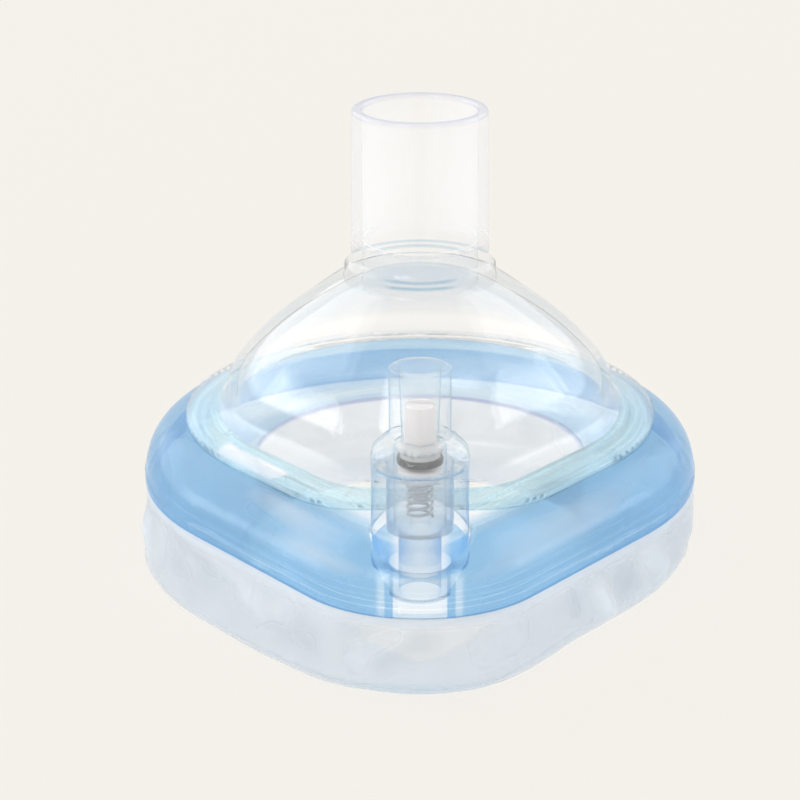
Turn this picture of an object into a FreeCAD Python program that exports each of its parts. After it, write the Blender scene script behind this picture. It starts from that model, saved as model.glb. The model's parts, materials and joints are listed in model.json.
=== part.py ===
import FreeCAD, Part
import math
import os

V = FreeCAD.Vector
UP = V(0, 0, 1)

# Plan of the face cushion: a nose circle and a chin circle joined by straight sides.
NOSE_R = 15.0
NOSE_Y = -22.25
CHIN_R = 32.2
CHIN_Y = 4.85

# Heights above the face that rests on the table.
SEAM_Z = 10.5
INNER_WELD_Z = 12.5
DOME_SIDE_Z = 22.0
DOME_TOP_Z = 37.6
RIM_Z = 56.0

# Blue moulded shell of the cushion. Profiles are (inset from the seam, height, nose rounding).
SHELL_WALL = 1.3
ROUNDING = 8.0
SHELL_OUTER = ((0.0, 10.5), (0.12, 12.6), (0.95, 14.7), (2.7, 16.4), (5.0, 17.4), (9.9, 18.8), (14.0, 19.5))
SHELL_CAVITY = ((1.3, 10.4), (1.42, 12.4), (2.1, 13.9), (3.5, 15.2), (5.5, 16.1), (10.2, 17.4), (14.0, 18.0))
OPENING = ((8.9, 21.5), (8.9, 18.8), (9.5, 17.8), (11.2, 15.6), (12.5, 13.7), (13.0, 12.5), (13.0, 8.0))
BEAD_PROUD = 0.12
BEAD_HIGH = 1.0

# Clear film bag under the shell.
FILM = 0.35
BAG_OUTER = ((3.2, 0.0, 3.2), (1.6, 0.4, 2.8), (0.5, 1.5, 1.9), (0.0, 3.4, 1.0), (-0.1, 6.2, 0.3), (0.0, SEAM_Z, 0.0))
BAG_INNER = ((9.6, 0.0), (11.2, 0.45), (12.3, 1.7), (12.9, 4.2), (13.06, 8.0), (13.0, INNER_WELD_Z))

# Crown: dome, flange and 15 mm male conical connector, one moulding.
CROWN_WALL = 1.2
DOME_INSET = 9.9
DOME_AHEAD = 0.7
DOME_FOOT = ((2.3, 18.0), (1.9, 18.8), (0.9, 19.9), (0.25, 20.9))
DOME_POWER = 1.35
FLANGE_INSET = 4.9
FLANGE_THICK = 0.85
CONN_Y = -3.65
CONN_R = 7.5
CONN_WALL = 1.15
CONN_TAPER = 1.0 / 80.0
CONN_FOOT_Z = 40.2

# Adhesive between flange and shell, with the air void and bubble left in it.
BOND = 0.15
VOID_AT = (-18.2, -12.0)
VOID_REACH = 5.8
VOID_EDGES = (5.6, 7.6)
BITE_AT = (-15.9, -18.2)
BITE_R = 1.15
BUBBLE_AT = (-21.7, -4.9)
BUBBLE_R = 0.28

# Inflation valve and the socket that holds it.
VALVE_Y = NOSE_Y - NOSE_R + 6.1
SOCKET_R = 5.08
SOCKET_TOP_Z = 25.3
BOSS_FOOT_Z = SEAM_Z + 3.9
SOCKET_STEP_Z = 18.2
SPIGOT_R = 3.5
SOCKET_GAP = 0.04
DIP_R = 3.3
DIP_BORE_R = 2.25
DIP_END_Z = 10.9
LUER_TOP_Z = 35.8
LUER_R = 3.2
LUER_MOUTH_R = 2.15
LUER_TAPER = 0.03
COLLAR_R = 5.15
COLLAR_FACE_Z = 25.35
NECK_Z = 28.6
THROAT_R = 1.95
SEAT_Z = 27.9
CHAMBER_R = 2.75
STEM_R = 1.6
STEM_TOP_Z = 31.9
TRAVEL = 1.6
SEAL_R = 2.42
SEAL_BOTTOM_Z = 25.5
SEAL_GAP = 0.03
PUSH_R = 2.3
PUSH_BOTTOM_Z = 23.7
PUSH_TOP_Z = 24.9
GUIDE_R = 0.8
GUIDE_END_Z = 21.0
RETAINER_HIGH = 1.0
RETAINER_BORE_R = 1.0
WIRE_R = 0.16
COIL_R = 1.3
COILS = 5.5


def plan_wire(nose_r, nose_y, chin_r, chin_y, z):
    lean = math.asin((chin_r - nose_r) / (chin_y - nose_y))
    cos_lean = math.cos(lean)
    sin_lean = math.sin(lean)
    nose_side = V(nose_r * cos_lean, nose_y - nose_r * sin_lean, z)
    chin_side = V(chin_r * cos_lean, chin_y - chin_r * sin_lean, z)
    nose_left = V(-nose_side.x, nose_side.y, z)
    chin_left = V(-chin_side.x, chin_side.y, z)
    nose = Part.Arc(nose_left, V(0, nose_y - nose_r, z), nose_side).toShape()
    right = Part.LineSegment(nose_side, chin_side).toShape()
    chin = Part.Arc(chin_side, V(0, chin_y + chin_r, z), chin_left).toShape()
    left = Part.LineSegment(chin_left, nose_left).toShape()
    return Part.Wire([nose, right, chin, left])


def face_plan(inset, z, rounding=0.0):
    lean = (CHIN_R - NOSE_R) / (CHIN_Y - NOSE_Y)
    return plan_wire(NOSE_R - inset + rounding, NOSE_Y + rounding / lean, CHIN_R - inset, CHIN_Y, z)


def prism(wire, height):
    return Part.Face(wire).extrude(V(0, 0, height))


def mound(profile):
    return Part.makeLoft([face_plan(*step) for step in profile], True, False)


def raised(profile, rise):
    return [(inset, z + rise) for inset, z in profile]


def throat(wall):
    return mound([(inset - wall, z, ROUNDING) for inset, z in OPENING])


def turned(points, y):
    outline = Part.makePolygon([V(r, 0, z) for r, z in points] + [V(points[0][0], 0, points[0][1])])
    body = Part.Face(outline).revolve(V(0, 0, 0), UP, 360)
    body.translate(V(0, y, 0))
    return body


def rod(r, y, bottom, top):
    return Part.makeCylinder(r, top - bottom, V(0, y, bottom), UP)


def shell():
    outer = mound(SHELL_OUTER)
    bead = prism(face_plan(-BEAD_PROUD, SEAM_Z), BEAD_HIGH)
    body = outer.fuse(bead)
    body = body.cut(mound(SHELL_CAVITY).cut(throat(SHELL_WALL)))
    body = body.cut(throat(0.0))
    return body.cut(prism(face_plan(OPENING[1][0] - SHELL_WALL, 0, ROUNDING), INNER_WELD_Z))


def cushion_top():
    boss = rod(SOCKET_R, VALVE_Y, BOSS_FOOT_Z, SOCKET_TOP_Z)
    dip = rod(DIP_R, VALVE_Y, DIP_END_Z, SOCKET_STEP_Z)
    body = shell().fuse([boss, dip])
    body = body.cut(rod(SPIGOT_R + SOCKET_GAP, VALVE_Y, SOCKET_STEP_Z, SOCKET_TOP_Z + 1))
    body = body.cut(rod(DIP_BORE_R, VALVE_Y, DIP_END_Z - 1, SOCKET_STEP_Z + 1))
    return body.removeSplitter()


def shrunk(profile, wall):
    steps = []
    for step in profile:
        lift = max(0.0, 1.0 - step[1] / 3.0)
        steps.append((step[0] + wall, step[1] + abs(wall) * lift, step[2]))
    return steps


def cushion_bag():
    inner = [(inset, z, ROUNDING) for inset, z in BAG_INNER]
    outside = mound(BAG_OUTER + ((0.0, INNER_WELD_Z, 0.0),))
    hollow = mound(shrunk(BAG_OUTER, FILM) + [(FILM, INNER_WELD_Z + 1, 0.0)])
    hollow = hollow.cut(mound(shrunk(inner, -FILM) + [(inner[-1][0] - FILM, INNER_WELD_Z + 1, ROUNDING)]))
    body = outside.cut(mound(inner)).cut(hollow)
    above_seam = prism(face_plan(-1, SEAM_Z), RIM_Z).cut(prism(face_plan(6, SEAM_Z), RIM_Z))
    return body.cut(above_seam)


def dome_section(share, inset, wall, z):
    keep = 1.0 - share
    lean = (CHIN_R - NOSE_R) / (CHIN_Y - NOSE_Y)
    top_r = CONN_R + 0.35 - wall
    nose_r = keep * (NOSE_R - inset + ROUNDING) + share * top_r
    nose_y = keep * (NOSE_Y + ROUNDING / lean) + share * (CONN_Y - 0.15)
    chin_r = keep * (CHIN_R - inset) + share * (top_r + 0.05)
    chin_y = keep * (CHIN_Y - DOME_AHEAD) + share * (CONN_Y + 0.15)
    return plan_wire(nose_r, nose_y, chin_r, chin_y, z)


def dome(wall, top):
    wires = []
    for flare, z in DOME_FOOT:
        wires.append(dome_section(0.0, DOME_INSET - flare + wall, wall, z - (wall > 0)))
    for rise in (0.0, 0.2, 0.4, 0.6, 0.8, 0.93, 1.0):
        z = DOME_SIDE_Z + rise * (top - DOME_SIDE_Z)
        wires.append(dome_section(rise ** DOME_POWER, DOME_INSET + wall, wall, z))
    return Part.makeLoft(wires, True, False)


def flange_plan():
    plan = prism(face_plan(FLANGE_INSET, 0, ROUNDING), RIM_Z)
    return plan.cut(rod(SOCKET_R + 0.2, VALVE_Y, 0, RIM_Z))


def connector():
    foot_r = CONN_R + (RIM_Z - CONN_FOOT_Z) * CONN_TAPER
    rim = 0.45
    spread = 0.75
    dip = CONN_FOOT_Z - 1.8
    middle = V(foot_r + spread * (1 - math.sqrt(0.5)), 0, dip + 1.8 * (1 - math.sqrt(0.5)))
    flare = Part.Arc(V(foot_r + spread, 0, dip), middle, V(foot_r, 0, CONN_FOOT_Z)).toShape()
    points = [V(foot_r, 0, CONN_FOOT_Z), V(CONN_R, 0, RIM_Z), V(0, 0, RIM_Z), V(0, 0, dip - 1.6)]
    points += [V(foot_r + spread, 0, dip - 1.6), V(foot_r + spread, 0, dip)]
    outline = Part.Wire([flare] + Part.makePolygon(points).Edges)
    body = Part.Face(outline).revolve(V(0, 0, 0), UP, 360)
    body = body.cut(Part.makeCylinder(CONN_R - CONN_WALL, RIM_Z, V(0, 0, 0), UP))
    edges = [e for e in body.Edges if abs(e.BoundBox.ZMin - RIM_Z) < 1e-6 and e.BoundBox.ZLength < 1e-6]
    body = body.makeFillet(rim, edges)
    body.translate(V(0, CONN_Y, 0))
    return body


def crown():
    seat = mound(raised(SHELL_OUTER, BOND))
    wall = dome(0.0, DOME_TOP_Z).cut(dome(CROWN_WALL, DOME_TOP_Z - CROWN_WALL)).cut(seat)
    flange = mound(raised(SHELL_OUTER, BOND + FLANGE_THICK)).common(flange_plan()).cut(seat)
    flange = flange.cut(prism(face_plan(OPENING[0][0], 0, ROUNDING), RIM_Z))
    body = wall.fuse(flange).fuse(connector())
    body = body.cut(Part.makeCylinder(CONN_R - CONN_WALL, RIM_Z, V(0, CONN_Y, 0), UP))
    return body.removeSplitter()


def bond_film():
    body = mound(raised(SHELL_OUTER, BOND)).cut(mound(SHELL_OUTER))
    body = body.common(flange_plan())
    body = body.cut(prism(face_plan(OPENING[0][0], 0, ROUNDING), RIM_Z))
    near, far = VOID_EDGES
    void = prism(face_plan(near, 0), RIM_Z).cut(prism(face_plan(far, 0), RIM_Z))
    void = void.common(Part.makeCylinder(VOID_REACH, RIM_Z, V(VOID_AT[0], VOID_AT[1], 0), UP))
    void = void.cut(Part.makeCylinder(BITE_R, RIM_Z, V(BITE_AT[0], BITE_AT[1], 0), UP))
    bubble = Part.makeCylinder(BUBBLE_R, RIM_Z, V(BUBBLE_AT[0], BUBBLE_AT[1], 0), UP)
    return body.cut([void, bubble])


def valve_body():
    neck_bore = LUER_MOUTH_R - (LUER_TOP_Z - NECK_Z) * LUER_TAPER
    points = [(LUER_MOUTH_R, LUER_TOP_Z), (LUER_R - 0.15, LUER_TOP_Z), (LUER_R, LUER_TOP_Z - 0.15)]
    points += [(LUER_R, NECK_Z), (COLLAR_R - 1.1, NECK_Z - 0.55), (COLLAR_R - 0.25, NECK_Z - 1.5)]
    points += [(COLLAR_R, NECK_Z - 2.5), (COLLAR_R, COLLAR_FACE_Z), (SPIGOT_R, COLLAR_FACE_Z)]
    points += [(SPIGOT_R, SOCKET_STEP_Z + 0.05), (CHAMBER_R, SOCKET_STEP_Z + 0.05)]
    points += [(CHAMBER_R, SEAT_Z - 0.35), (THROAT_R, SEAT_Z), (neck_bore, NECK_Z)]
    return turned(points, VALVE_Y)


def valve_plunger():
    seal_core = SEAL_R * 0.42
    points = [(0, STEM_TOP_Z), (STEM_R - 0.3, STEM_TOP_Z), (STEM_R, STEM_TOP_Z - 0.3)]
    points += [(STEM_R, SEAT_Z - 0.1), (seal_core, SEAT_Z - 0.1), (seal_core, PUSH_TOP_Z)]
    points += [(PUSH_R, PUSH_TOP_Z), (PUSH_R, PUSH_BOTTOM_Z), (GUIDE_R, PUSH_BOTTOM_Z)]
    points += [(GUIDE_R, GUIDE_END_Z + 0.3), (GUIDE_R - 0.3, GUIDE_END_Z), (0, GUIDE_END_Z)]
    body = turned(points, VALVE_Y)
    slot = Part.makeBox(2 * STEM_R + 1, 0.6, 0.6, V(-STEM_R - 0.5, VALVE_Y - 0.3, STEM_TOP_Z - 0.5))
    return body.cut(slot)


def valve_seal():
    bore = SEAL_R * 0.42 + SEAL_GAP
    top = SEAT_Z - 0.1 - SEAL_GAP
    points = [(bore, top), (THROAT_R + 0.05, top), (SEAL_R, top - 0.55), (SEAL_R, top - 0.9)]
    points += [(SEAL_R - 0.35, top - 1.1), (SEAL_R - 0.35, SEAL_BOTTOM_Z + 0.7), (SEAL_R, SEAL_BOTTOM_Z + 0.5)]
    points += [(SEAL_R, SEAL_BOTTOM_Z), (bore, SEAL_BOTTOM_Z)]
    return turned(points, VALVE_Y)


def valve_retainer():
    points = [(RETAINER_BORE_R, SOCKET_STEP_Z + 0.05), (CHAMBER_R - 0.02, SOCKET_STEP_Z + 0.05)]
    points += [(CHAMBER_R - 0.02, SOCKET_STEP_Z + RETAINER_HIGH)]
    points += [(RETAINER_BORE_R, SOCKET_STEP_Z + RETAINER_HIGH)]
    return turned(points, VALVE_Y)


def valve_spring():
    bottom = SOCKET_STEP_Z + RETAINER_HIGH + WIRE_R + 0.02
    top = PUSH_BOTTOM_Z - WIRE_R - 0.02
    pitch = (top - bottom) / COILS
    path = Part.makeHelix(pitch, top - bottom, COIL_R)
    ring = Part.Wire(Part.makeCircle(WIRE_R, V(COIL_R, 0, 0), V(0, 1, pitch / (2 * math.pi * COIL_R))))
    body = Part.Wire(path).makePipeShell([ring], True, True)
    body.translate(V(0, VALVE_Y, bottom))
    return body


def save(name, shape):
    solid = shape.Solids[0] if len(shape.Solids) == 1 else shape
    print(name, shape.isValid(), len(shape.Solids), round(shape.Volume, 2))
    solid.exportStep("parts/" + name + ".step")


def main():
    os.makedirs("parts", exist_ok=True)
    save("crown", crown())
    save("cushion_top", cushion_top())
    save("cushion_bag", cushion_bag())
    save("bond_film", bond_film())
    save("valve_body", valve_body())
    save("valve_plunger", valve_plunger())
    save("valve_seal", valve_seal())
    save("valve_spring", valve_spring())
    save("valve_retainer", valve_retainer())


main()
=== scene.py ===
import json
import math
import random

import bmesh
import bpy
from bpy.props import FloatProperty, FloatVectorProperty, PointerProperty
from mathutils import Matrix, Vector, noise

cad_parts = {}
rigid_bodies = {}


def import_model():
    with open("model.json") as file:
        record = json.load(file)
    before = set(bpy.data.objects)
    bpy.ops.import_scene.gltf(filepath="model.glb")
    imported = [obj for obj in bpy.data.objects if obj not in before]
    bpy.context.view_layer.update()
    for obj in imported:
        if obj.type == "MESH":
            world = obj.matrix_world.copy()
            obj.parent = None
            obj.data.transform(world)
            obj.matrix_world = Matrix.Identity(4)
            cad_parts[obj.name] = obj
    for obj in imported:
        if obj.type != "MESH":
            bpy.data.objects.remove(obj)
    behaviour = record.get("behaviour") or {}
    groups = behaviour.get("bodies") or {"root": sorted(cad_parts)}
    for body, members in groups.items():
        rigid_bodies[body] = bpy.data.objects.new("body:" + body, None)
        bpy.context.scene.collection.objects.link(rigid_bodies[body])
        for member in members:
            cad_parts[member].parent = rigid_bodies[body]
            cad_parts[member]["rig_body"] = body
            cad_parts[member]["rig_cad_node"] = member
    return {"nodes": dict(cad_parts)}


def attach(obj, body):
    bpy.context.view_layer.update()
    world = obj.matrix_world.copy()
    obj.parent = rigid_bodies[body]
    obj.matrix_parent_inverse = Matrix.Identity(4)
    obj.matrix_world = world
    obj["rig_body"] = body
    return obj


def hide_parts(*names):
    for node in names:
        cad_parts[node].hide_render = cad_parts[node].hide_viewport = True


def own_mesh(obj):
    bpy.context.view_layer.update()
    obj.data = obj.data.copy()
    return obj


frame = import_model()

bl_info = {
    "name": "Air Cushion Face Mask",
    "version": (1, 0, 0),
    "blender": (4, 5, 0),
    "location": "3D View > Sidebar > Mask",
    "description": "Dresses the mask's solids with clear plastic, blue vinyl and film, on a pale stage",
    "category": "Object",
}

MM = 0.001

# Plan of the cushion in millimetres: a nose circle and a chin circle joined by straight sides.
NOSE_R = 15.0
NOSE_Y = -22.25
CHIN_R = 32.2
CHIN_Y = 4.85
LEAN = (CHIN_R - NOSE_R) / (CHIN_Y - NOSE_Y)
COLUMNS = {"nose": 84, "side": 56, "chin": 160}

# Round patches of the plan in millimetres: middle, radius and width of the soft edge.
VALVE_AT = (0.0, -31.15)
SOCKET_ROUND = (VALVE_AT, 5.1, 0.1)
VOID_ROUND = ((-18.2, -12.0), 5.6, 0.3)
BITE_ROUND = ((-15.9, -18.2), 1.1, 0.15)
POOL_ROUND = ((0.0, 2.0), 15.0, 6.0)

# Section of the film bag in millimetres, from the seam down, under and up to the inner weld: inset, height
# and nose rounding. The rows are how many rings lie between one step and the next.
BAG_SECTION = (
    (0.03, 10.46, 0.0),
    (-0.1, 6.2, 0.3),
    (0.0, 3.4, 1.0),
    (0.5, 1.5, 1.9),
    (1.6, 0.4, 2.8),
    (3.2, 0.0, 3.2),
    (6.4, 0.0, 5.6),
    (9.6, 0.0, 8.0),
    (11.2, 0.45, 8.0),
    (12.3, 1.7, 8.0),
    (12.9, 4.2, 8.0),
    (13.06, 8.0, 8.0),
    (13.0, 12.4, 8.0),
)
BAG_ROWS = (9, 9, 7, 6, 5, 3, 3, 4, 4, 4, 4, 3)
FILM_WALL = 0.3

# Folds of the film: a line of points in millimetres, its half width and its height.
FOLDS = (
    (
        (
            (-29.4, -8.2, 9.0),
            (-28.2, -10.8, 8.9),
            (-26.2, -13.9, 8.2),
            (-23.8, -17.0, 7.3),
            (-20.8, -20.6, 5.7),
        ),
        0.55,
        -0.45,
    ),
    (
        (
            (-29.2, -8.0, 8.2),
            (-26.9, -13.0, 9.6),
            (-22.5, -18.5, 9.3),
            (-19.5, -22.1, 8.4),
            (-17.0, -25.2, 6.9),
        ),
        0.7,
        0.4,
    ),
    (((-20.0, -21.5, 7.6), (-16.6, -25.6, 5.9), (-12.7, -30.5, 7.0)), 0.9, 0.5),
    (((-17.6, -24.6, 4.4), (-13.6, -29.4, 5.0), (-9.6, -33.6, 4.6)), 1.1, -0.4),
    (((-9.1, -34.2, 9.4), (-7.8, -35.1, 8.6), (-4.9, -36.4, 8.7), (3.1, -36.9, 8.9)), 0.6, -0.35),
    (((-7.4, -35.4, 3.2), (-5.7, -36.1, 6.2), (-3.1, -36.9, 8.2), (-0.5, -37.2, 9.0)), 0.7, 0.5),
    (((-6.0, -36.0, 3.0), (-3.9, -36.8, 5.6), (-0.6, -37.2, 7.4), (3.4, -36.9, 7.8)), 0.9, -0.35),
    (((5.2, -36.3, 5.2), (8.3, -34.7, 6.8), (11.5, -31.8, 7.2)), 0.9, 0.35),
    (((16.4, -25.9, 9.0), (16.9, -25.3, 6.6), (17.8, -24.2, 4.0)), 0.5, -0.5),
    (((18.6, -23.2, 8.4), (19.6, -22.1, 6.8), (20.3, -21.2, 5.2), (21.8, -19.4, 1.6)), 0.6, 0.75),
    (((20.9, -20.4, 8.2), (22.4, -18.6, 6.0), (24.5, -16.1, 4.0)), 0.9, -0.4),
    (((24.0, -16.8, 8.8), (26.2, -13.9, 7.6), (27.6, -11.4, 5.2), (26.6, -13.2, 3.0)), 0.8, 0.4),
    (((28.6, -9.6, 9.0), (30.4, -5.6, 6.8), (31.3, -2.7, 6.4)), 0.7, -0.4),
    (((-31.4, -3.0, 8.8), (-31.6, -1.8, 5.4), (-31.0, -5.0, 2.6)), 0.8, 0.45),
)

# How much wider and lower than that they are pressed, and how many millimetres from its start one is felt.
FOLD_SPREAD = 1.7
FOLD_PUSH = 0.8
FOLD_SPAN = 16

# Smaller folds: how many, the columns between two, and how many columns one may stray or slant.
MORE_FOLDS = 30
FOLD_STEP = 6
FOLD_STRAY = 3
FOLD_SLANT = 9
FOLD_SEED = 11

# The ranges of their lower ends, upper ends, half widths and heights, in millimetres.
FOLD_FOOTS = (1.5, 4.0)
FOLD_TOPS = (6.0, 9.4)
FOLD_WIDTHS = (0.6, 1.1)
FOLD_RISES = (0.12, 0.3)

# The film's unevenness: height in millimetres and how fine it is, and the heights over which it and the folds
# fade out below the seam and above the floor.
SWELL = (0.2, 0.13)
RIPPLE = (0.05, 0.4)
RIPPLE_SHIFT = Vector((7, 3, 1))
SEAM_FADE = (10.2, 8.2)
FLOOR_FADE = (0.0, 0.8)

# The film's fullness at the floor in millimetres: the height over which it fades, how far the film goes out
# on the left and in on the right, and the ranges of inset, distance aside and Y over which that sets in.
FULL_HEIGHT = 2.4
FULL_LEFT = 1.5
FULL_RIGHT = -1.0
FULL_INSETS = (8, 4)
FULL_ASIDE = (6, 16)
FULL_FRONT = (14, 2)

# Copies of solids: how near points are merged and how far two skins are drawn in, in millimetres, and the
# angle in degrees up to which an edge is smooth.
MERGE_WITHIN = 0.002
SMOOTH_ANGLE = 32
CROWN_SLIMMER = 0.03
ADHESIVE_SLIMMER = 0.045

# Clear walls: the plain and the bending kind, how far that bends light, and how bright they mirror square on
# and edge on.
CLEAR = "ShaderNodeBsdfTransparent"
LENS = "ShaderNodeBsdfRefraction"
LENS_IOR = 1.004
FACE_SHINE = 0.045
EDGE_SHINE = 0.85
SHINE_POWER = 5

# Colours of the light that each piece lets through into its shadow.
CROWN_SHADE = (0.97, 0.975, 0.98)
VALVE_SHADE = (0.95, 0.96, 0.97)
VINYL_SHADE = (0.8, 0.91, 1.0)
FILM_SHADE = (0.98, 0.985, 1.0)
ADHESIVE_SHADE = (0.95, 0.98, 0.98)

# Lamps: place, width and height in metres, and power in watts.
LAMPS = (
    ("back_left_softbox", (-0.7, 0.52, 0.5), 0.95, 0.95, 3.4),
    ("left_strip", (-0.89, 0.16, 0.2), 0.34, 0.2, 0.5),
    ("right_strip", (0.86, 0.12, 0.29), 0.3, 0.18, 0.34),
    ("back_right_softbox", (0.72, 0.5, 0.5), 0.8, 0.8, 2.2),
    ("front_softbox", (-0.35, -0.6, 0.6), 0.4, 0.3, 1.0),
)
LAMPS_AIM = Vector((0, 0, 0.02))

# The surround's light, from level upwards.
SURROUND = (
    (0.0, (0.72, 0.73, 0.76, 1)),
    (0.25, (0.86, 0.87, 0.89, 1)),
    (0.6, (1, 1, 1, 1)),
)

# Floor: its size in metres, how many millimetres it lies below the mask and how plain it is seen.
FLOOR_SIZE = 8.0
FLOOR_DROP = 0.05
FLOOR_PLAIN = 0.92

# Camera: its place and sensor in millimetres, its shift to the side, and what it sees in metres.
CAMERA_BACK = 269.81
CAMERA_UP = 120.49
SENSOR_WIDTH = 36.0
CAMERA_SHIFT = -0.025
NEAREST, FARTHEST = 0.01, 20.0


# Shader building. Ranges are pairs of values, places are in millimetres and shares go from 0 to 1.


class Wire:
    """A shader socket that can be used in arithmetic."""

    def __init__(self, paint, socket):
        self.paint = paint
        self.socket = socket

    def _sum(self, operation, first, second, clamp=False):
        return self.paint.node(
            "ShaderNodeMath", {"operation": operation, "use_clamp": clamp}, {0: first, 1: second}
        )

    def __add__(self, other):
        return self._sum("ADD", self, other)

    def __radd__(self, other):
        return self._sum("ADD", other, self)

    def __sub__(self, other):
        return self._sum("SUBTRACT", self, other)

    def __rsub__(self, other):
        return self._sum("SUBTRACT", other, self)

    def __mul__(self, other):
        return self._sum("MULTIPLY", self, other)

    def __rmul__(self, other):
        return self._sum("MULTIPLY", other, self)

    def __pow__(self, other):
        return self._sum("POWER", self, other)

    def clamped(self):
        return self._sum("ADD", self, 0.0, True)


class Paint:
    """A material or world under construction."""

    def __init__(self, owner):
        owner.use_nodes = True
        self.owner = owner
        self.tree = owner.node_tree
        self.tree.nodes.clear()

    def node(self, kind, settings=None, inputs=None, output=0):
        made = self.tree.nodes.new(kind)
        for key, value in (settings or {}).items():
            if key == "stops":
                self.set_stops(made.color_ramp, value)
            else:
                setattr(made, key, value)
        for key, value in (inputs or {}).items():
            self.feed(made.inputs[key], value)
        return Wire(self, made.outputs[output])

    def feed(self, socket, value):
        if isinstance(value, Wire):
            self.tree.links.new(value.socket, socket)
        else:
            socket.default_value = value

    def set_stops(self, colours, stops):
        while len(colours.elements) < len(stops):
            colours.elements.new(0.5)
        for element, (place, shade) in zip(colours.elements, stops):
            element.position = place
            element.color = shade

    def mix(self, share, first, second):
        """The first look, which turns into the second as the share rises."""
        return self.node("ShaderNodeMixShader", {}, {0: share, 1: first, 2: second})

    def finish(self, surface, kind="ShaderNodeOutputMaterial"):
        out = self.tree.nodes.new(kind)
        self.tree.links.new(surface.socket, out.inputs["Surface"])
        return self.owner


def rgba(colour):
    return (colour[0], colour[1], colour[2], 1.0)


def matt(paint, colour):
    """Light that is scattered back."""
    return paint.node("ShaderNodeBsdfDiffuse", {}, {"Color": rgba(colour)})


def milky(paint, colour):
    """Light that is scattered on through a thin wall."""
    return paint.node("ShaderNodeBsdfTranslucent", {}, {"Color": rgba(colour)})


def clear(paint, colour):
    """Light that goes straight on, tinted."""
    return paint.node(CLEAR, {}, {"Color": rgba(colour)})


def place_on_piece(paint):
    return paint.node("ShaderNodeTexCoord", output="Object")


def axis(paint, name):
    """Place along X, Y or Z in millimetres."""
    return paint.node("ShaderNodeSeparateXYZ", {}, {0: place_on_piece(paint)}, name) * (1 / MM)


def height(paint):
    """Height above the floor in millimetres."""
    return axis(paint, "Z")


def aside(paint):
    """Distance from the mask's middle plane in millimetres."""
    return paint.node("ShaderNodeMath", {"operation": "ABSOLUTE"}, {0: axis(paint, "X")})


def noted(paint, name):
    """A number that was written on the piece's points."""
    return paint.node("ShaderNodeAttribute", {"attribute_name": name}, {}, "Fac")


def between(paint, value, low, high):
    """0 below low and 1 above high, smoothly."""
    return paint.node(
        "ShaderNodeMapRange",
        {"interpolation_type": "SMOOTHSTEP"},
        {0: value, 1: low, 2: high, 3: 0.0, 4: 1.0},
    )


def within(paint, value, rise, fall):
    """Goes from 0 to 1 over the first pair of values and back to 0 over the second."""
    return between(paint, value, *rise) * (1 - between(paint, value, *fall))


def near_value(paint, value, middle, reach):
    """1 where the value is at the middle and 0 beyond its reach."""
    return within(paint, value, (middle - reach, middle), (middle, middle + reach))


def near(paint, centre, reach, fade):
    """1 within reach of a point of the plan, in millimetres, and 0 beyond it."""
    place = place_on_piece(paint)
    middle = tuple(value * MM for value in centre) + (0.0,)
    flat = (1 / MM, 1 / MM, 0.0)
    centred = paint.node("ShaderNodeVectorMath", {"operation": "SUBTRACT"}, {0: place, 1: middle})
    in_mm = paint.node("ShaderNodeVectorMath", {"operation": "MULTIPLY"}, {0: centred, 1: flat})
    far = paint.node("ShaderNodeVectorMath", {"operation": "LENGTH"}, {0: in_mm}, "Value")
    return 1 - between(paint, far, reach, reach + fade)


def uneven(paint, scale, strength, depth):
    """A soft waviness for a surface's gloss."""
    wave = paint.node(
        "ShaderNodeTexNoise",
        {},
        {"Vector": place_on_piece(paint), "Scale": scale, "Detail": 2.0, "Distortion": 0.5},
        "Fac",
    )
    return paint.node("ShaderNodeBump", {}, {"Strength": strength, "Distance": depth * MM, "Height": wave})


def streaks(paint, across, detail=3.0):
    """Uneven lines that follow the mask round, packed along the given value."""
    along = 0.05
    drawn = paint.node(
        "ShaderNodeCombineXYZ", {}, {0: across, 1: axis(paint, "X") * along, 2: axis(paint, "Y") * along}
    )
    return paint.node(
        "ShaderNodeTexNoise",
        {},
        {"Vector": drawn, "Scale": 1.0, "Detail": detail, "Distortion": 0.4},
        "Fac",
    )


def see_through(paint, face, edge, gloss, tone=4.0, kind=CLEAR, bump=None):
    """A clear wall, tinted and mirroring more edge on. A higher tone keeps the tint nearer to its edges."""
    slant = paint.node("ShaderNodeLayerWeight", {}, {"Blend": 0.5}, "Facing")
    front = paint.node(kind, {}, {"Color": rgba(face)})
    side = paint.node(kind, {}, {"Color": rgba(edge)})
    if kind == LENS:
        for lens in (front, side):
            lens.socket.node.inputs["Roughness"].default_value = 0.0
            lens.socket.node.inputs["IOR"].default_value = LENS_IOR
    wall = paint.mix(slant ** tone, front, side)
    mirror = paint.node("ShaderNodeBsdfAnisotropic", {}, {"Color": (1, 1, 1, 1), "Roughness": gloss})
    if bump is not None:
        paint.feed(mirror.socket.node.inputs["Normal"], bump)
    return paint.mix(slant ** SHINE_POWER * EDGE_SHINE + FACE_SHINE, wall, mirror)


def lets_light_through(paint, skin, shade):
    """The piece casts a pale shadow of its own colour, as clear plastic does."""
    shadow = paint.node("ShaderNodeLightPath", output="Is Shadow Ray")
    return paint.mix(shadow, skin, clear(paint, shade))


def seen_directly(paint):
    """1 for what the camera sees, mirrored and through a lens too, and 0 for what only gives light."""
    path = paint.node("ShaderNodeLightPath").socket.node.outputs
    seen = Wire(paint, path["Is Camera Ray"]) + Wire(paint, path["Is Glossy Ray"])
    return (seen + Wire(paint, path["Is Transmission Ray"])).clamped()


# Materials


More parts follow.
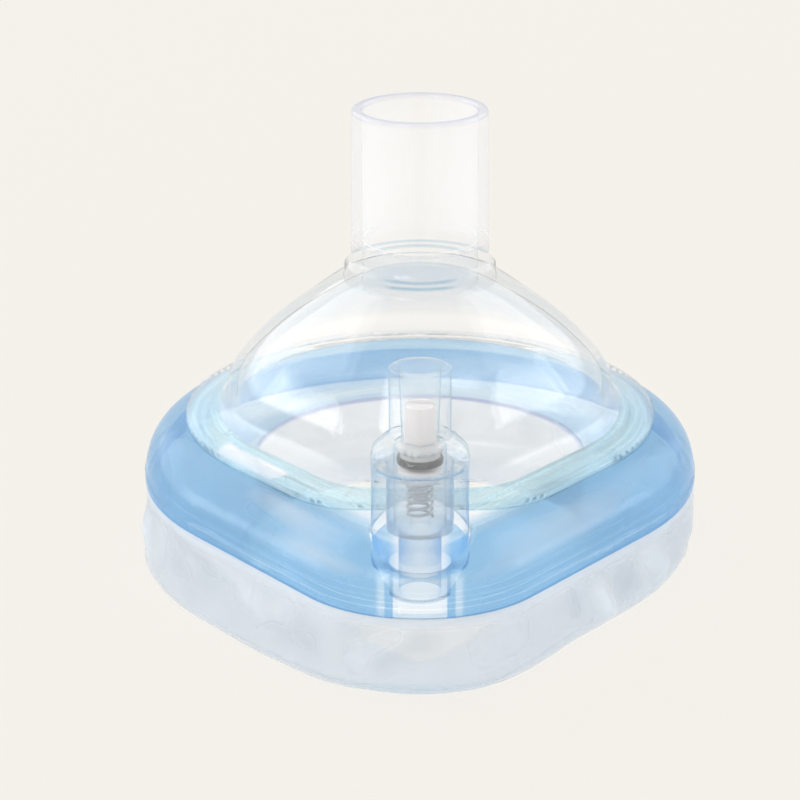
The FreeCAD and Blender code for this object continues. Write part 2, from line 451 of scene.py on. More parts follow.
def crown_lines(paint, high, behind):
    """The line round the back of the tube's foot and the short arc under its front."""
    back_line, arc_line, arc_ends = (38.4, 0.35), (37.9, 0.35), (2.5, 4.8)
    back_strength, arc_strength = 0.85, 0.9
    back = near_value(paint, high, *back_line) * behind
    arc = near_value(paint, high, *arc_line) * (1 - behind)
    arc = arc * (1 - between(paint, aside(paint), *arc_ends))
    return back * back_strength + arc * arc_strength


def crown_white(paint, high, in_tube, behind):
    """Share of white: over the air in the adhesive, in the tube and on the line round its front."""
    void_inner, void_outer, flange_top = (7.5, 7.8), (5.5, 5.7), (18.4, 18.6)
    middle_band, front_foot = (0.0, 2.6), (41.2, 0.2)
    wall_white, void_white, tube_white, middle_clearing, line_white = 0.03, 0.2, 0.12, 0.09, 0.35
    air = within(paint, noted(paint, "inset"), void_outer, void_inner) * near(paint, *VOID_ROUND)
    air = air * (1 - near(paint, *BITE_ROUND)) * (1 - between(paint, high, *flange_top))
    middle = near_value(paint, axis(paint, "X"), *middle_band)
    front_line = near_value(paint, high, *front_foot) * (1 - behind)
    tube = in_tube * (tube_white - middle * middle_clearing)
    return air * void_white + tube + front_line * line_white + wall_white


def crown_plastic(s):
    """Clear rigid plastic: bright in the tube, bluish along its rim and foot, and whiter over trapped air."""
    flange_gloss, gloss_drop = 0.26, 0.16
    gloss_heights, tube_foot, rim_foot = (20.0, 22.5), (39.5, 41.0), (55.3, 55.6)
    back_half = (-1.0, 1.0)
    dome_tone, tube_tone, rim_tone = 3.0, 4.0, 2.0
    paint = Paint(bpy.data.materials.new("clear_rigid_plastic"))
    high = height(paint)
    behind = between(paint, axis(paint, "Y"), *back_half)
    in_tube = between(paint, high, *tube_foot)
    gloss = flange_gloss - between(paint, high, *gloss_heights) * gloss_drop
    dome = see_through(paint, s.crown_face, s.crown_edge, gloss, dome_tone, kind=LENS)
    tube = see_through(paint, s.crown_face, s.tube_edge, gloss, tube_tone, kind=LENS)
    rim = see_through(paint, s.rim_face, s.rim_edge, gloss, rim_tone, kind=LENS)
    line = see_through(paint, s.line_face, s.line_face, gloss, kind=LENS)
    wall = paint.mix(in_tube, dome, tube)
    wall = paint.mix(between(paint, high, *rim_foot), wall, rim)
    wall = paint.mix(crown_lines(paint, high, behind), wall, line)
    skin = paint.mix(crown_white(paint, high, in_tube, behind), wall, matt(paint, s.crown_veil))
    return paint.finish(lets_light_through(paint, skin, CROWN_SHADE))


def valve_plastic(s):
    """Clear plastic of the valve, with a faint veil."""
    gloss, tone, veil = 0.02, 3.6, 0.035
    paint = Paint(bpy.data.materials.new("clear_valve_plastic"))
    wall = see_through(paint, s.valve_face, s.valve_edge, gloss, tone, kind=LENS)
    skin = paint.mix(veil, wall, matt(paint, s.valve_veil))
    return paint.finish(lets_light_through(paint, skin, VALVE_SHADE))


def vinyl_skin(paint, s, high):
    """The shell's own vinyl: hazy, with a painted highlight in pale streaks, and clearer round the opening.
    """
    back_half, right_side = (-4.0, 2.0), (-24.0, 8.0)
    slope_rise, slope_fall, inside_insets, opening_insets = (0.2, 1.2), (3.6, 5.0), (4.6, 5.4), (5.8, 7.6)
    highlight_streaks, wall_streaks = (0.42, 0.68), (0.38, 0.66)
    highlight_fineness, highlight_detail, wall_fineness = 0.3, 0.4, 0.9
    slope_highlight, left_highlight, inside_highlight = 0.26, 0.36, 0.36
    wall_clear, stripe_clear, ahead_clear = 0.6, 0.35, 0.3
    skin_gloss, wall_gloss, milk_share = 0.2, 0.12, 0.4
    depth = noted(paint, "inset")
    ahead = 1 - between(paint, axis(paint, "Y"), *back_half)
    left = 1 - between(paint, axis(paint, "X"), *right_side)
    wave = uneven(paint, scale=75.0, strength=0.6, depth=0.5)
    tinted = see_through(paint, s.blue_face, s.blue_edge, skin_gloss, bump=wave)
    haze = paint.mix(milk_share, milky(paint, s.blue_milk), matt(paint, s.blue_milk))
    skin = paint.mix(s.blue_haze, tinted, haze)
    # Painted highlight: pale white streaks on the front slope, more on the left, and along a band inside at
    # the back.
    highlight = between(paint, streaks(paint, depth * highlight_fineness, highlight_detail), *highlight_streaks)
    slope = within(paint, depth, slope_rise, slope_fall) * ahead * (left * left_highlight + slope_highlight)
    inside = between(paint, depth, *inside_insets) * (1 - ahead)
    skin = paint.mix(highlight * (slope + inside * inside_highlight), skin, matt(paint, s.blue_sheen))
    near_wall = see_through(paint, s.clear_wall, s.clear_wall, wall_gloss)
    far_wall = see_through(paint, s.wall_face, s.blue_face, wall_gloss)
    stripe = between(paint, streaks(paint, high * wall_fineness), *wall_streaks)
    cleared = (stripe * stripe_clear + wall_clear + ahead * ahead_clear).clamped()
    opening = between(paint, depth, *opening_insets) * cleared
    return paint.mix(opening, skin, paint.mix(ahead, far_wall, near_wall))


def vinyl_socket(paint, s, high, beside, pale):
    """The thick socket round the valve: pale above, and blue at the sides of its solid foot."""
    foot_rise, foot_fall = (14.2, 14.4), (17.9, 18.4)
    side_from, cloud_to = (2.3, 3.4), (2.4, 4.4)
    gloss, tone, side_cloud, middle_cloud = 0.05, 1.0, 0.06, 0.07
    middle = see_through(paint, s.foot_face, s.foot_edge, gloss, tone)
    sides = see_through(paint, s.foot_side, s.foot_edge, gloss, tone)
    foot = paint.mix(between(paint, beside, *side_from), middle, sides)
    socket = paint.mix(within(paint, high, foot_rise, foot_fall), pale, foot)
    cloud = (1 - between(paint, beside, *cloud_to)) * middle_cloud + side_cloud
    return paint.mix(cloud, socket, matt(paint, s.socket_veil))


def vinyl_columns(paint, high, beside):
    """The pale columns of the tube under the socket, and the lines of its lips."""
    middle_end, side_rise, side_fall = (2.7, 2.9), (3.5, 3.8), (4.1, 4.8)
    column_top, column_back = (14.3, 14.8), (-31.0, -29.0)
    lower_line, upper_line = (11.55, 0.12), (12.7, 0.1)
    middle_strength, side_strength, lower_strength, upper_strength = 0.8, 0.45, 0.6, 0.35
    column = (1 - between(paint, beside, *middle_end)) * middle_strength
    column = column + within(paint, beside, side_rise, side_fall) * side_strength
    column = column * (1 - between(paint, high, *column_top))
    column = column * (1 - between(paint, axis(paint, "Y"), *column_back))
    lower_lip = near_value(paint, high, *lower_line) * lower_strength
    upper_lip = near_value(paint, high, *upper_line) * upper_strength
    return (column + (lower_lip + upper_lip)).clamped()


def blue_vinyl(s):
    """Tinted vinyl, slightly milky, and paler in the thick socket round the valve."""
    socket_gloss, socket_tone = 0.05, 2.0
    paint = Paint(bpy.data.materials.new("blue_vinyl"))
    high = height(paint)
    beside = aside(paint)
    pale = see_through(paint, s.socket_face, s.socket_edge, socket_gloss, socket_tone)
    socket = vinyl_socket(paint, s, high, beside, pale)
    skin = paint.mix(near(paint, *SOCKET_ROUND), vinyl_skin(paint, s, high), socket)
    skin = paint.mix(vinyl_columns(paint, high, beside), skin, pale)
    return paint.finish(lets_light_through(paint, skin, VINYL_SHADE))


def clear_film(s):
    """Thin cloudy film, whiter at its weld, bluish at its front foot, with painted shade and highlight on its
    folds.
    """
    inner_insets, weld_heights, foot_top = (11.0, 12.2), (9.0, 10.0), (0.25, 0.8)
    front, back, seam_line = (30.0, 35.0), (-2.0, -6.0), (12.2, 0.45)
    gloss, tone, milk_share, fold_strength = 0.12, 2.5, 0.6, 1.4
    weld_cloud, ridge_highlight, inner_clearing, inner_plain, seam_strength = 0.3, 0.3, 0.85, 0.8, 0.9
    paint = Paint(bpy.data.materials.new("clear_film"))
    crease = uneven(paint, scale=260.0, strength=0.35, depth=0.35)
    high = height(paint)
    forward = axis(paint, "Y") * -1.0
    inner = between(paint, noted(paint, "inset"), *inner_insets)
    # Painted shade and highlight: from the fold heights noted on the points, the film is greyer in the
    # valleys of its folds and whiter on their ridges.
    fold = noted(paint, "fold")
    ridge = (fold * fold_strength).clamped()
    groove = (fold * -fold_strength).clamped()
    film = see_through(paint, s.film_face, s.film_edge, gloss, tone, bump=crease)
    blue = see_through(paint, s.film_foot_face, s.film_foot_edge, gloss)
    weld = see_through(paint, s.weld_face, s.weld_face, gloss)
    groove_shade = see_through(paint, s.film_groove_shade, s.film_edge, gloss, tone, bump=crease)
    foot = (1 - between(paint, high, *foot_top)) * between(paint, forward, *front)
    seam = near_value(paint, high, *seam_line) * inner * between(paint, forward, *back)
    film = paint.mix(foot, film, blue)
    film = paint.mix(inner * inner_plain, film, clear(paint, s.film_inner))
    film = paint.mix(seam * seam_strength, film, weld)
    film = paint.mix(groove, film, groove_shade)
    veil = paint.node("ShaderNodeBsdfDiffuse", {}, {"Color": rgba(s.film_milk), "Normal": crease})
    haze = paint.mix(milk_share, milky(paint, s.film_milk), veil)
    # Share of white haze over the whole film and along the weld, with a painted highlight along the ridges of
    # the folds.
    cloud = between(paint, high, *weld_heights) * weld_cloud + ridge * ridge_highlight + s.film_haze
    skin = paint.mix(cloud * (1 - inner * inner_clearing), film, haze)
    return paint.finish(lets_light_through(paint, skin, FILM_SHADE))


def aqua_adhesive(s):
    """Cured adhesive: a thin, cloudy aqua layer with faint streaks, deeper on the right."""
    streak_range, right_side = (0.35, 0.7), (2.0, 20.0)
    fineness, milk_share, streak_cloud, cloud = 1.5, 0.4, 0.4, 0.06
    paint = Paint(bpy.data.materials.new("cured_adhesive"))
    streak = between(paint, streaks(paint, noted(paint, "inset") * fineness), *streak_range)
    right = between(paint, axis(paint, "X"), *right_side)
    layer = paint.mix(right, clear(paint, s.bond_face), clear(paint, s.bond_deep))
    haze = paint.mix(milk_share, matt(paint, s.bond_milk), milky(paint, s.bond_milk))
    skin = paint.mix(streak * streak_cloud + cloud, layer, haze)
    return paint.finish(lets_light_through(paint, skin, ADHESIVE_SHADE))


def seal_rubber(s):
    """Pale elastomer with a dark lower lip."""
    lip_top = (26.1, 26.25)
    paint = Paint(bpy.data.materials.new("seal_elastomer"))
    shade = paint.node(
        "ShaderNodeMix",
        {"data_type": "RGBA"},
        {0: between(paint, height(paint), *lip_top), 6: rgba(s.seal_dark), 7: rgba(s.seal_pale)},
        2,
    )
    return paint.finish(paint.node("ShaderNodeBsdfPrincipled", {}, {"Base Color": shade, "Roughness": 0.25}))


def solid(name, colour, roughness, metallic=0.0):
    """A plain opaque material."""
    paint = Paint(bpy.data.materials.new(name))
    skin = paint.node(
        "ShaderNodeBsdfPrincipled",
        {},
        {"Base Color": rgba(colour), "Roughness": roughness, "Metallic": metallic},
    )
    return paint.finish(skin)


# Modelling


def let_go():
    if bpy.context.object is not None and bpy.context.object.mode != "OBJECT":
        bpy.ops.object.mode_set(mode="OBJECT")
    bpy.ops.object.select_all(action="DESELECT")


def take(obj):
    let_go()
    obj.select_set(True)
    bpy.context.view_layer.objects.active = obj


def copy_of(node, name):
    """A merged, smooth copy of a CAD node, which then stands for it."""
    take(frame["nodes"][node])
    bpy.ops.object.duplicate()
    piece = bpy.context.object
    piece.name = name
    piece.data.name = name
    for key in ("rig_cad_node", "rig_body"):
        if key in piece:
            del piece[key]
    piece.parent = None
    bpy.ops.object.mode_set(mode="EDIT")
    bpy.ops.mesh.select_all(action="SELECT")
    bpy.ops.mesh.remove_doubles(threshold=MERGE_WITHIN * MM)
    bpy.ops.object.mode_set(mode="OBJECT")
    bpy.ops.object.shade_smooth_by_angle(angle=math.radians(SMOOTH_ANGLE))
    even = piece.modifiers.new("even_shading", "WEIGHTED_NORMAL")
    even.mode = "FACE_AREA_WITH_ANGLE"
    even.keep_sharp = True
    bpy.ops.object.modifier_apply(modifier=even.name)
    return piece


def ramp(value, low, high):
    """0 at low and 1 at high, straight between them and level beyond them."""
    return max(0.0, min(1.0, (value - low) / (high - low)))


def plan_inset(x, y):
    """How far a point, in millimetres, lies inside the cushion's plan."""
    x, y, reach = abs(x), y - NOSE_Y, CHIN_Y - NOSE_Y
    rise = math.sqrt(1 - LEAN * LEAN)
    along = x * LEAN + y * rise
    if along < 0:
        return NOSE_R - math.hypot(x, y)
    if along > rise * reach:
        return CHIN_R - math.hypot(x, y - reach)
    return NOSE_R - (x * rise - y * LEAN)


def note_inset(piece):
    """Writes the plan's inset on the piece, for its material."""
    inset = piece.data.attributes.new("inset", "FLOAT", "POINT")
    for vert in piece.data.vertices:
        inset.data[vert.index].value = plan_inset(vert.co.x / MM, vert.co.y / MM)


def plan_point(column, inset, rounding):
    """Place on the cushion's plan, in millimetres, counted round from the nose's left end."""
    nose_r = NOSE_R - inset + rounding
    nose_y = NOSE_Y + rounding / LEAN
    chin_r = CHIN_R - inset
    turn = math.asin(LEAN)
    nose_end = (nose_r * math.cos(turn), nose_y - nose_r * math.sin(turn))
    chin_end = (chin_r * math.cos(turn), CHIN_Y - chin_r * math.sin(turn))
    nose, side, chin = COLUMNS["nose"], COLUMNS["side"], COLUMNS["chin"]
    if column < nose:
        angle = math.pi + turn + (math.pi - 2 * turn) * column / nose
        return nose_r * math.cos(angle), nose_y + nose_r * math.sin(angle)
    column -= nose
    if column < side:
        share = column / side
        return tuple(a + (b - a) * share for a, b in zip(nose_end, chin_end))
    column -= side
    if column < chin:
        angle = -turn + (math.pi + 2 * turn) * column / chin
        return chin_r * math.cos(angle), CHIN_Y + chin_r * math.sin(angle)
    share = (column - chin) / side
    return tuple((a + (b - a) * share) * sign for a, b, sign in zip(chin_end, nose_end, (-1, 1)))


def smooth_step(before, here, there, after, share):
    """Value at a share of the way from here to there, on a smooth curve through all four."""
    bend = 2 * before - 5 * here + 4 * there - after
    twist = 3 * here - before - 3 * there + after
    return 0.5 * (2 * here + (there - before) * share + bend * share * share + twist * share**3)


def eased(steps, rows):
    """A smooth run of steps through the given ones, with so many rows between each two."""
    run = []
    for i, count in enumerate(rows):
        around = [steps[max(0, min(len(steps) - 1, i + k))] for k in (-1, 0, 1, 2)]
        for row in range(count):
            run.append(tuple(smooth_step(*values, row / count) for values in zip(*around)))
    return run + [steps[-1]]


def lofted(name, section):
    """A skin through rings of the plan, drawn out ring by ring from a first circle."""
    count = COLUMNS["nose"] + COLUMNS["chin"] + 2 * COLUMNS["side"]
    let_go()
    bpy.ops.mesh.primitive_circle_add(vertices=count, radius=CHIN_R * MM)
    piece = bpy.context.object
    piece.name = name
    piece.data.name = name
    bpy.ops.object.mode_set(mode="EDIT")
    bpy.ops.mesh.select_all(action="SELECT")
    mesh = bmesh.from_edit_mesh(piece.data)
    place = mesh.verts.layers.int.new("column")
    mesh.verts.ensure_lookup_table()
    for column, vert in enumerate(mesh.verts):
        vert[place] = column
    for row, (inset, rise, rounding) in enumerate(section):
        if row > 0:
            bpy.ops.mesh.extrude_edges_move()
        mesh = bmesh.from_edit_mesh(piece.data)
        place = mesh.verts.layers.int["column"]
        for vert in mesh.verts:
            if vert.select:
                x, y = plan_point(vert[place], inset, rounding)
                vert.co = Vector((x, y, rise)) * MM
        bmesh.update_edit_mesh(piece.data)
    bpy.ops.object.mode_set(mode="OBJECT")
    return piece


def nearness(point, line, width):
    """1 on the line and 0 well away from it, thinning out at its ends."""
    thinning = 4
    best = 0.0
    last = len(line) - 2
    for i in range(last + 1):
        start, end = Vector(line[i]), Vector(line[i + 1])
        along = end - start
        share = max(0.0, min(1.0, (point - start).dot(along) / along.length_squared))
        far = (point - start - along * share).length / width
        place = (i + share) / (last + 1)
        thinned = min(1.0, thinning * place, thinning * (1 - place))
        best = max(best, math.exp(-far * far) * thinned)
    return best


def more_folds():
    """Shorter slanting folds round the back."""
    chance = random.Random(FOLD_SEED)
    first = COLUMNS["nose"] + COLUMNS["side"] - FOLD_STEP
    folds = []
    for i in range(MORE_FOLDS):
        column = first + i * FOLD_STEP + chance.uniform(-FOLD_STRAY, FOLD_STRAY)
        low, high = chance.uniform(*FOLD_FOOTS), chance.uniform(*FOLD_TOPS)
        slant = chance.uniform(-FOLD_SLANT, FOLD_SLANT)
        line = []
        for share in (0.0, 0.5, 1.0):
            x, y = plan_point(column + slant * share, 0.0, 0.0)
            line.append((x, y, low + (high - low) * share))
        width = chance.uniform(*FOLD_WIDTHS)
        rise = chance.choice((-1, 1)) * chance.uniform(*FOLD_RISES)
        folds.append((tuple(line), width, rise))
    return folds


def fullness(point):
    """How far the film stands out at the floor, in millimetres."""
    foot = math.exp(-((point.z / FULL_HEIGHT) ** 2)) * ramp(plan_inset(point.x, point.y), *FULL_INSETS)
    front = ramp(point.y, *FULL_FRONT)
    left = ramp(-point.x, *FULL_ASIDE) * front
    right = ramp(point.x, *FULL_ASIDE) * front
    return foot * (FULL_LEFT * left + FULL_RIGHT * right)


def crumple(piece):
    """Presses the folds, unevenness and the fuller left side into the film, and notes the folds on it."""
    folds = FOLDS + tuple(more_folds())
    fold_note = piece.data.attributes.new("fold", "FLOAT", "POINT")
    normals = [vert.normal.copy() for vert in piece.data.vertices]
    for vert, normal in zip(piece.data.vertices, normals):
        point = vert.co / MM
        free = ramp(point.z, *SEAM_FADE) * ramp(point.z, *FLOOR_FADE)
        swell = SWELL[0] * noise.noise(point * SWELL[1])
        ripple = RIPPLE[0] * noise.noise(point * RIPPLE[1] + RIPPLE_SHIFT)
        push = swell + ripple
        crease = 0.0
        for line, width, rise in folds:
            if abs(point.x - line[0][0]) < FOLD_SPAN and abs(point.y - line[0][1]) < FOLD_SPAN:
                reach = nearness(point, line, FOLD_SPREAD * width)
                push += FOLD_PUSH * rise * reach
                crease += rise * reach
        fold_note.data[vert.index].value = crease * free
        outward = Vector((point.x, point.y - CHIN_Y, 0)).normalized()
        moved = point + normal * push * free + outward * fullness(point)
        vert.co = Vector((moved.x, moved.y, max(0.0, moved.z))) * MM


def walled(piece, wall):
    """Gives a skin its wall, grown inwards."""
    take(piece)
    thick = piece.modifiers.new("wall", "SOLIDIFY")
    thick.thickness = wall * MM
    thick.offset = -1.0
    thick.use_even_offset = False
    bpy.ops.object.modifier_apply(modifier=thick.name)


def slimmer(piece, amount):
    """Draws the skin in, so that it doesn't lie on a neighbour's."""
    normals = [vert.normal.copy() for vert in piece.data.vertices]
    for vert, normal in zip(piece.data.vertices, normals):
        vert.co -= normal * amount * MM


def finish_piece(piece, material, body, node):
    """Gives the piece its material and its body, and hides the CAD node that it stands for."""
    piece.data.materials.clear()
    piece.data.materials.append(material)
    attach(piece, body)
    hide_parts(node)


# Sizes and colours


def tint(name, description, shade):
    """A colour that a user can change."""
    return FloatVectorProperty(name=name, description=description, subtype="COLOR", default=shade)


class MaskFinish(bpy.types.PropertyGroup):
    """Colours of the mask's materials, and how far the stem can be pressed"""

    crown_face: tint("Crown face", "Clear plastic seen square on", (0.996, 0.996, 0.997))
    crown_edge: tint("Crown edge", "Clear plastic seen edge on", (0.89, 0.9, 0.915))
    crown_veil: tint("Crown white", "White over trapped air and in the tube", (0.96, 0.97, 0.985))
    tube_edge: tint("Tube edge", "Breathing tube seen edge on", (0.88, 0.9, 0.95))
    rim_face: tint("Rim face", "Tube's rounded rim seen square on", (0.94, 0.945, 0.98))
    rim_edge: tint("Rim edge", "Tube's rounded rim seen edge on", (0.62, 0.67, 0.86))
    line_face: tint("Foot line", "Line round the foot of the tube", (0.5, 0.69, 0.82))
    blue_face: tint("Blue face", "Blue vinyl seen square on", (0.605, 0.8, 0.935))
    blue_edge: tint("Blue edge", "Blue vinyl seen edge on", (0.5, 0.74, 0.95))
    blue_milk: tint("Blue milk", "Colour of the vinyl's haze", (0.36, 0.64, 0.9))
    # Colour of the painted highlight that lies in pale streaks on the vinyl.
    blue_sheen: tint("Blue sheen", "Pale bloom in streaks on the vinyl", (0.82, 0.9, 0.97))
    blue_haze: FloatProperty(
        name="Blue haze", description="Share of light that the vinyl scatters", subtype="FACTOR", default=0.22
    )
    clear_wall: tint("Near wall", "Front half of the opening's wall", (0.99, 0.992, 0.996))
    wall_face: tint("Far wall", "Back half of the opening's wall seen square on", (0.9, 0.96, 0.99))
    foot_face: tint("Socket foot face", "Solid foot of the socket seen square on", (0.93, 0.965, 0.99))
    foot_edge: tint("Socket foot edge", "Solid foot of the socket seen edge on", (0.33, 0.6, 0.9))
    foot_side: tint("Socket foot side", "Flanks of the socket's foot", (0.55, 0.78, 0.95))
    socket_face: tint("Socket face", "Thick socket seen square on", (0.965, 0.982, 0.995))
    socket_edge: tint("Socket edge", "Thick socket seen edge on", (0.55, 0.74, 0.92))
    socket_veil: tint("Socket white", "White of the socket's cloud", (0.94, 0.965, 1.0))
    valve_face: tint("Valve face", "Valve plastic seen square on", (0.985, 0.992, 0.995))
    valve_edge: tint("Valve edge", "Valve plastic seen edge on", (0.5, 0.66, 0.76))
    valve_veil: tint("Valve white", "White of the valve plastic's veil", (0.97, 0.98, 0.985))
    stem_white: tint("Stem", "White plastic of the stem", (0.76, 0.73, 0.75))
    seal_dark: tint("Seal lip", "Dark lip of the seal", (0.06, 0.058, 0.06))
    seal_pale: tint("Seal body", "Pale body of the seal", (0.55, 0.56, 0.58))
    spring_steel: tint("Spring", "Steel of the spring", (0.42, 0.42, 0.44))
    bond_face: tint("Adhesive face", "Adhesive seen through", (0.83, 0.935, 0.96))
    bond_deep: tint("Adhesive, right", "Adhesive seen through on the right", (0.72, 0.855, 0.9))
    bond_milk: tint("Adhesive milk", "Colour of the adhesive's haze", (0.6, 0.83, 0.9))
    film_face: tint("Film face", "Film seen square on", (0.985, 0.988, 0.992))
    film_edge: tint("Film edge", "Film seen edge on", (0.7, 0.75, 0.8))
    film_inner: tint("Film, inner wall", "Film round the inside of the bag", (0.995, 0.995, 0.997))
    film_foot_face: tint("Film foot", "Front of the film at the floor, square on", (0.7, 0.85, 0.96))
    film_foot_edge: tint("Film foot edge", "Front of the film at the floor, edge on", (0.5, 0.72, 0.9))
    # Colour of the painted shade along the valleys of the film's folds.
    film_groove_shade: tint("Film groove", "Film along the valleys of its folds", (0.83, 0.855, 0.88))
    film_milk: tint("Film milk", "Colour of the film's haze", (0.95, 0.96, 0.975))
    weld_face: tint("Weld line", "Weld of film and shell round the opening", (0.6, 0.65, 0.84))
    film_haze: FloatProperty(
        name="Film haze", description="Share of light that the film scatters", subtype="FACTOR", default=0.24
    )
    stem_travel: FloatProperty(
        name="Stem travel", description="How far the stem can be pressed, in millimetres", default=1.6
    )


class StageSettings(bpy.types.PropertyGroup):
    """Floor, surround, lamps and camera"""

    floor_colour: tint("Floor", "Floor colour", (0.9, 0.87, 0.82))
    backdrop_colour: tint("Backdrop", "Colour that the floor shows", (0.913, 0.887, 0.838))
    pool_colour: tint("Floor under the dome", "Light that the dome gathers", (1.1, 1.09, 1.07))
    world_level: FloatProperty(
        name="World level", description="Strength of the plain surround", default=0.62
    )
    lamp_power: FloatProperty(
        name="Lamp power", description="Power of the softboxes together", subtype="FACTOR", default=1.0
    )
    camera_focal: FloatProperty(name="Focal length", description="Lens in millimetres", default=112.5)
    camera_pitch: FloatProperty(
        name="Camera pitch",
        description="Angle below the horizon",
        subtype="ANGLE",
        default=math.radians(20.3),
    )


def settings():
    return bpy.context.scene.mask_finish


def stage_settings():
    return bpy.context.scene.mask_stage


# Pieces


class MASK_OT_crown(bpy.types.Operator):
    """Clear crown with its flange and breathing tube"""

    bl_idname = "mask.crown"
    bl_label = "Crown"

    def execute(self, context):
        piece = copy_of("crown", "clear_crown")
        slimmer(piece, CROWN_SLIMMER)
        note_inset(piece)
        finish_piece(piece, crown_plastic(settings()), "mask", "crown")
        return {"FINISHED"}


class MASK_OT_shell(bpy.types.Operator):
    """Blue vinyl shell of the cushion with its valve socket"""

    bl_idname = "mask.shell"
    bl_label = "Cushion shell"

    def execute(self, context):
        piece = copy_of("cushion_top", "blue_shell")
        note_inset(piece)
        finish_piece(piece, blue_vinyl(settings()), "mask", "cushion_top")
        return {"FINISHED"}


class MASK_OT_film(bpy.types.Operator):
    """Clear film bag under the shell"""

    bl_idname = "mask.film"
    bl_label = "Film bag"

    def execute(self, context):
        piece = lofted("film_bag", eased(BAG_SECTION, BAG_ROWS))
        low = min(piece.data.polygons, key=lambda face: face.center.z)
        if low.normal.z > 0:
            piece.data.flip_normals()
        note_inset(piece)
        crumple(piece)
        walled(piece, FILM_WALL)
        piece.data.polygons.foreach_set("use_smooth", [True] * len(piece.data.polygons))
        finish_piece(piece, clear_film(settings()), "mask", "cushion_bag")
        return {"FINISHED"}


class MASK_OT_adhesive(bpy.types.Operator):
    """Cured adhesive between flange and shell"""

    bl_idname = "mask.adhesive"
    bl_label = "Adhesive"

    def execute(self, context):
        piece = copy_of("bond_film", "adhesive")
        slimmer(piece, ADHESIVE_SLIMMER)
        note_inset(piece)
        finish_piece(piece, aqua_adhesive(settings()), "mask", "bond_film")
        return {"FINISHED"}


class MASK_OT_valve(bpy.types.Operator):
    """Inflation valve's body, plunger, seal, spring and retainer"""

    bl_idname = "mask.valve"
    bl_label = "Valve"

    def execute(self, context):
        s = settings()
        plastic = valve_plastic(s)
        white = solid("white_plastic", s.stem_white, roughness=0.35)
        steel = solid("steel_wire", s.spring_steel, roughness=0.28, metallic=1.0)
        looks = (
            ("valve_body", "valve_shell", "mask", plastic),
            ("valve_plunger", "white_stem", "valve_core", white),
            ("valve_seal", "stem_seal", "valve_core", seal_rubber(s)),
            ("valve_spring", "steel_spring", "mask", steel),
            ("valve_retainer", "spring_ring", "mask", plastic),
        )
        for node, name, body, material in looks:
            finish_piece(copy_of(node, name), material, body, node)
        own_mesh(bpy.data.objects["steel_spring"])
        return {"FINISHED"}


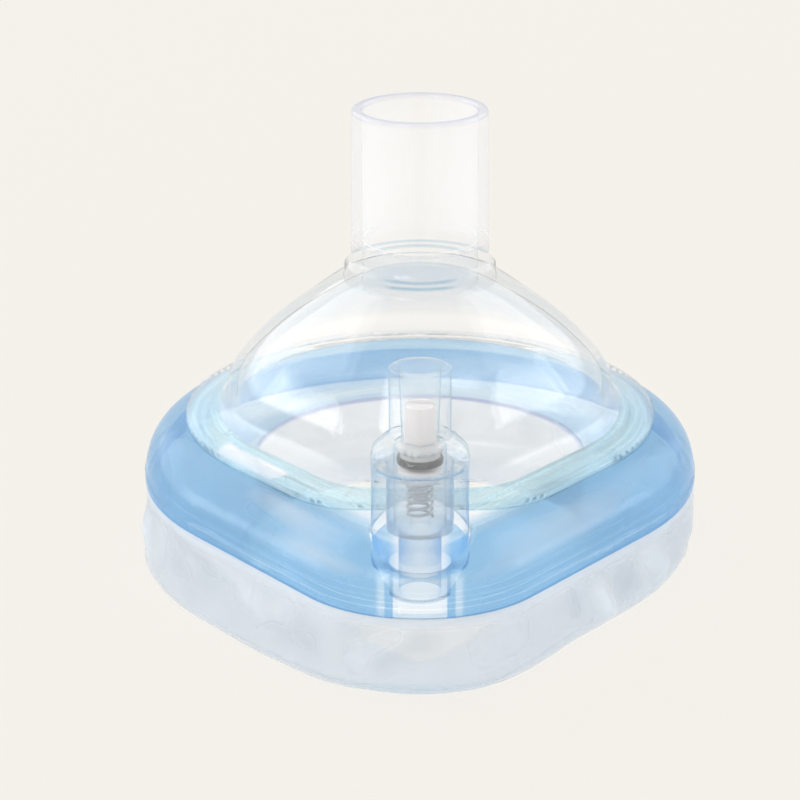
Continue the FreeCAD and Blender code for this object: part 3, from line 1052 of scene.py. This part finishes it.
class MASK_OT_stage(bpy.types.Operator):
    """Pale floor, soft lamps and camera"""

    bl_idname = "mask.stage"
    bl_label = "Stage"

    def execute(self, context):
        s = stage_settings()
        self.floor(s)
        self.world(s)
        self.lamps(s)
        self.camera(s)
        context.scene.view_settings.view_transform = "Standard"
        return {"FINISHED"}

    def floor(self, s):
        """A floor that shows the plain backdrop, and brighter light where the dome gathers it."""
        let_go()
        bpy.ops.mesh.primitive_plane_add(size=FLOOR_SIZE, location=(0, 0, -FLOOR_DROP * MM))
        floor = bpy.context.object
        floor.name = "floor"
        paint = Paint(bpy.data.materials.new("pale_floor"))
        plain = paint.node("ShaderNodeEmission", {}, {"Color": rgba(s.backdrop_colour), "Strength": 1.0})
        pool = paint.node("ShaderNodeEmission", {}, {"Color": rgba(s.pool_colour), "Strength": 1.0})
        shown = paint.mix(near(paint, *POOL_ROUND), plain, pool)
        skin = paint.mix(seen_directly(paint) * FLOOR_PLAIN, matt(paint, s.floor_colour), shown)
        floor.data.materials.append(paint.finish(skin))

    def world(self, s):
        """A plain surround that is seen as the backdrop's colour and gives light that is darker below."""
        world = bpy.data.worlds.new("surround")
        bpy.context.scene.world = world
        paint = Paint(world)
        place = paint.node("ShaderNodeTexCoord", output="Generated")
        up = paint.node("ShaderNodeSeparateXYZ", {}, {0: place}, "Z")
        shade = paint.node("ShaderNodeValToRGB", {"stops": SURROUND}, {0: up})
        light = paint.node("ShaderNodeBackground", {}, {"Color": shade, "Strength": s.world_level})
        plain = paint.node("ShaderNodeBackground", {}, {"Color": rgba(s.backdrop_colour), "Strength": 1.0})
        paint.finish(paint.mix(seen_directly(paint), light, plain), kind="ShaderNodeOutputWorld")

    def lamps(self, s):
        for name, place, wide, high, power in LAMPS:
            let_go()
            bpy.ops.object.light_add(type="AREA", location=place)
            lamp = bpy.context.object
            lamp.name = name
            lamp.data.shape = "RECTANGLE"
            lamp.data.size = wide
            lamp.data.size_y = high
            lamp.data.energy = power * s.lamp_power
            aim = LAMPS_AIM - Vector(place)
            lamp.rotation_euler = aim.to_track_quat("-Z", "Y").to_euler()

    def camera(self, s):
        let_go()
        bpy.ops.object.camera_add(location=(0, -CAMERA_BACK * MM, CAMERA_UP * MM))
        camera = bpy.context.object
        camera.name = "photo_camera"
        camera.rotation_euler = (math.pi / 2 - s.camera_pitch, 0, 0)
        camera.data.lens = s.camera_focal
        camera.data.sensor_width = SENSOR_WIDTH
        camera.data.shift_x = CAMERA_SHIFT
        camera.data.clip_start = NEAREST
        camera.data.clip_end = FARTHEST
        bpy.context.scene.camera = camera


class MASK_PT_panel(bpy.types.Panel):
    """Lists the mask's pieces and settings"""

    bl_label = "Mask"
    bl_idname = "MASK_PT_panel"
    bl_space_type = "VIEW_3D"
    bl_region_type = "UI"
    bl_category = "Mask"

    def draw(self, context):
        for group in (context.scene.mask_finish, context.scene.mask_stage):
            for name in group.__annotations__:
                self.layout.prop(group, name)
        for operator in OPERATORS:
            self.layout.operator(operator.bl_idname)


OPERATORS = (MASK_OT_crown, MASK_OT_shell, MASK_OT_film, MASK_OT_adhesive, MASK_OT_valve, MASK_OT_stage)
CLASSES = (MaskFinish, StageSettings) + OPERATORS + (MASK_PT_panel,)


def register():
    for item in CLASSES:
        bpy.utils.register_class(item)
    bpy.types.Scene.mask_finish = PointerProperty(type=MaskFinish)
    bpy.types.Scene.mask_stage = PointerProperty(type=StageSettings)


def unregister():
    del bpy.types.Scene.mask_stage
    del bpy.types.Scene.mask_finish
    for item in reversed(CLASSES):
        bpy.utils.unregister_class(item)


def main():
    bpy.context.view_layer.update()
    register()
    bpy.ops.mask.crown()
    bpy.ops.mask.shell()
    bpy.ops.mask.film()
    bpy.ops.mask.adhesive()
    bpy.ops.mask.valve()
    bpy.ops.mask.stage()


if __name__ == "__main__":
    main()
